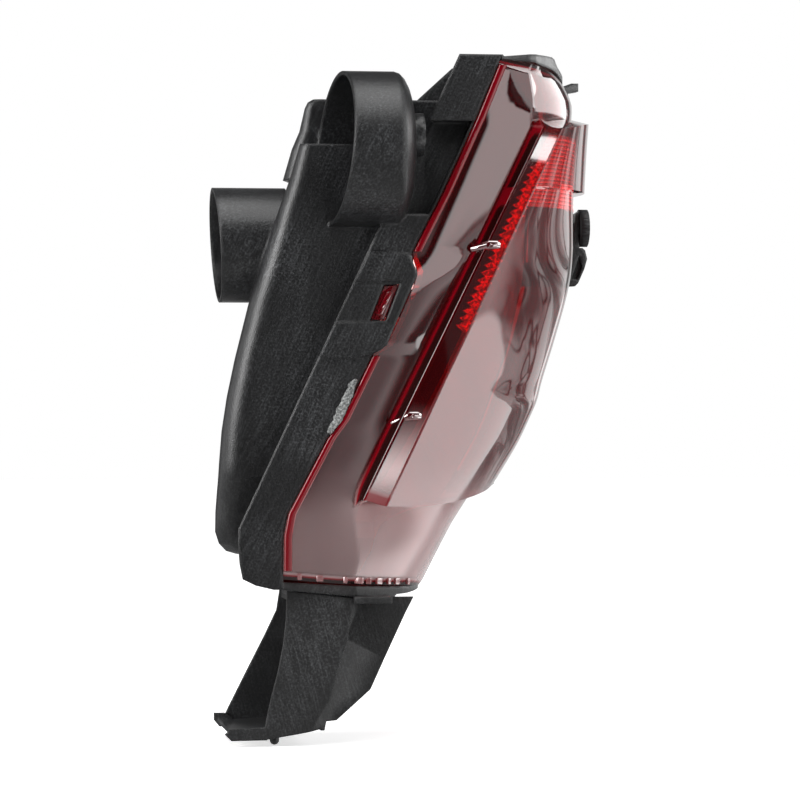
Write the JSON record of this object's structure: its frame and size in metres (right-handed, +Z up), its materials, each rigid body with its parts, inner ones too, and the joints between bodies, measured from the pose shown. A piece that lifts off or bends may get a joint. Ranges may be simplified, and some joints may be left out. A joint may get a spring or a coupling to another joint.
{
  "type": "rear reflector",
  "caption": "Rear bumper lamp unit for a car's corner: black housing, red lens with a reflex reflector, round lamp port, hood with a fixing bore, and a leg below",
  "frame": {"origin": "on the axis of the fixing bore, at the end of its boss that faces the lens", "axes": "+X from the rear chamber to the lens, +Y from the side with the hood to the far side, +Z up"},
  "size_m": [0.2072, 0.1541, 0.3487],
  "materials": {
    "housing": "black moulded, satin, lightly brushed",
    "bracket": "black moulded, satin, scuffed",
    "lens": "clear red, polished",
    "reflex": "red with small cube corners",
    "aluminised": "aluminised plastic",
    "mask": "black",
    "sealant": "grey, rough",
    "screws": "zinc plated",
    "steel": "turned",
    "buffer": "black",
    "seals": "black",
    "membrane": "white film",
    "bulb_glass": "clear",
    "bulb_cap": "plated",
    "holders": "dark grey moulded",
    "contacts": "bare"
  },
  "bodies": {
    "root": {"housing": "housing", "lens": "lens", "reflex_reflector": "reflex", "reflector": "aluminised", "trim_mask": "mask", "sealant_bead": "sealant", "bracket": "bracket", "bracket_screws": "screws", "reflector_screws": "screws", "fixing_bush": "steel", "ear_buffer": "buffer", "vent_cap": "seals", "vent_membrane": "membrane", "fog_bulb_glass": "bulb_glass", "fog_bulb_cap": "bulb_cap", "fog_bulb_holder": "holders", "fog_holder_seal": "seals", "fog_contacts": "contacts", "tail_bulb_glass": "bulb_glass", "tail_bulb_cap": "bulb_cap", "tail_bulb_holder": "holders", "tail_holder_seal": "seals", "tail_contacts": "contacts"}
  },
  "joints": []
}
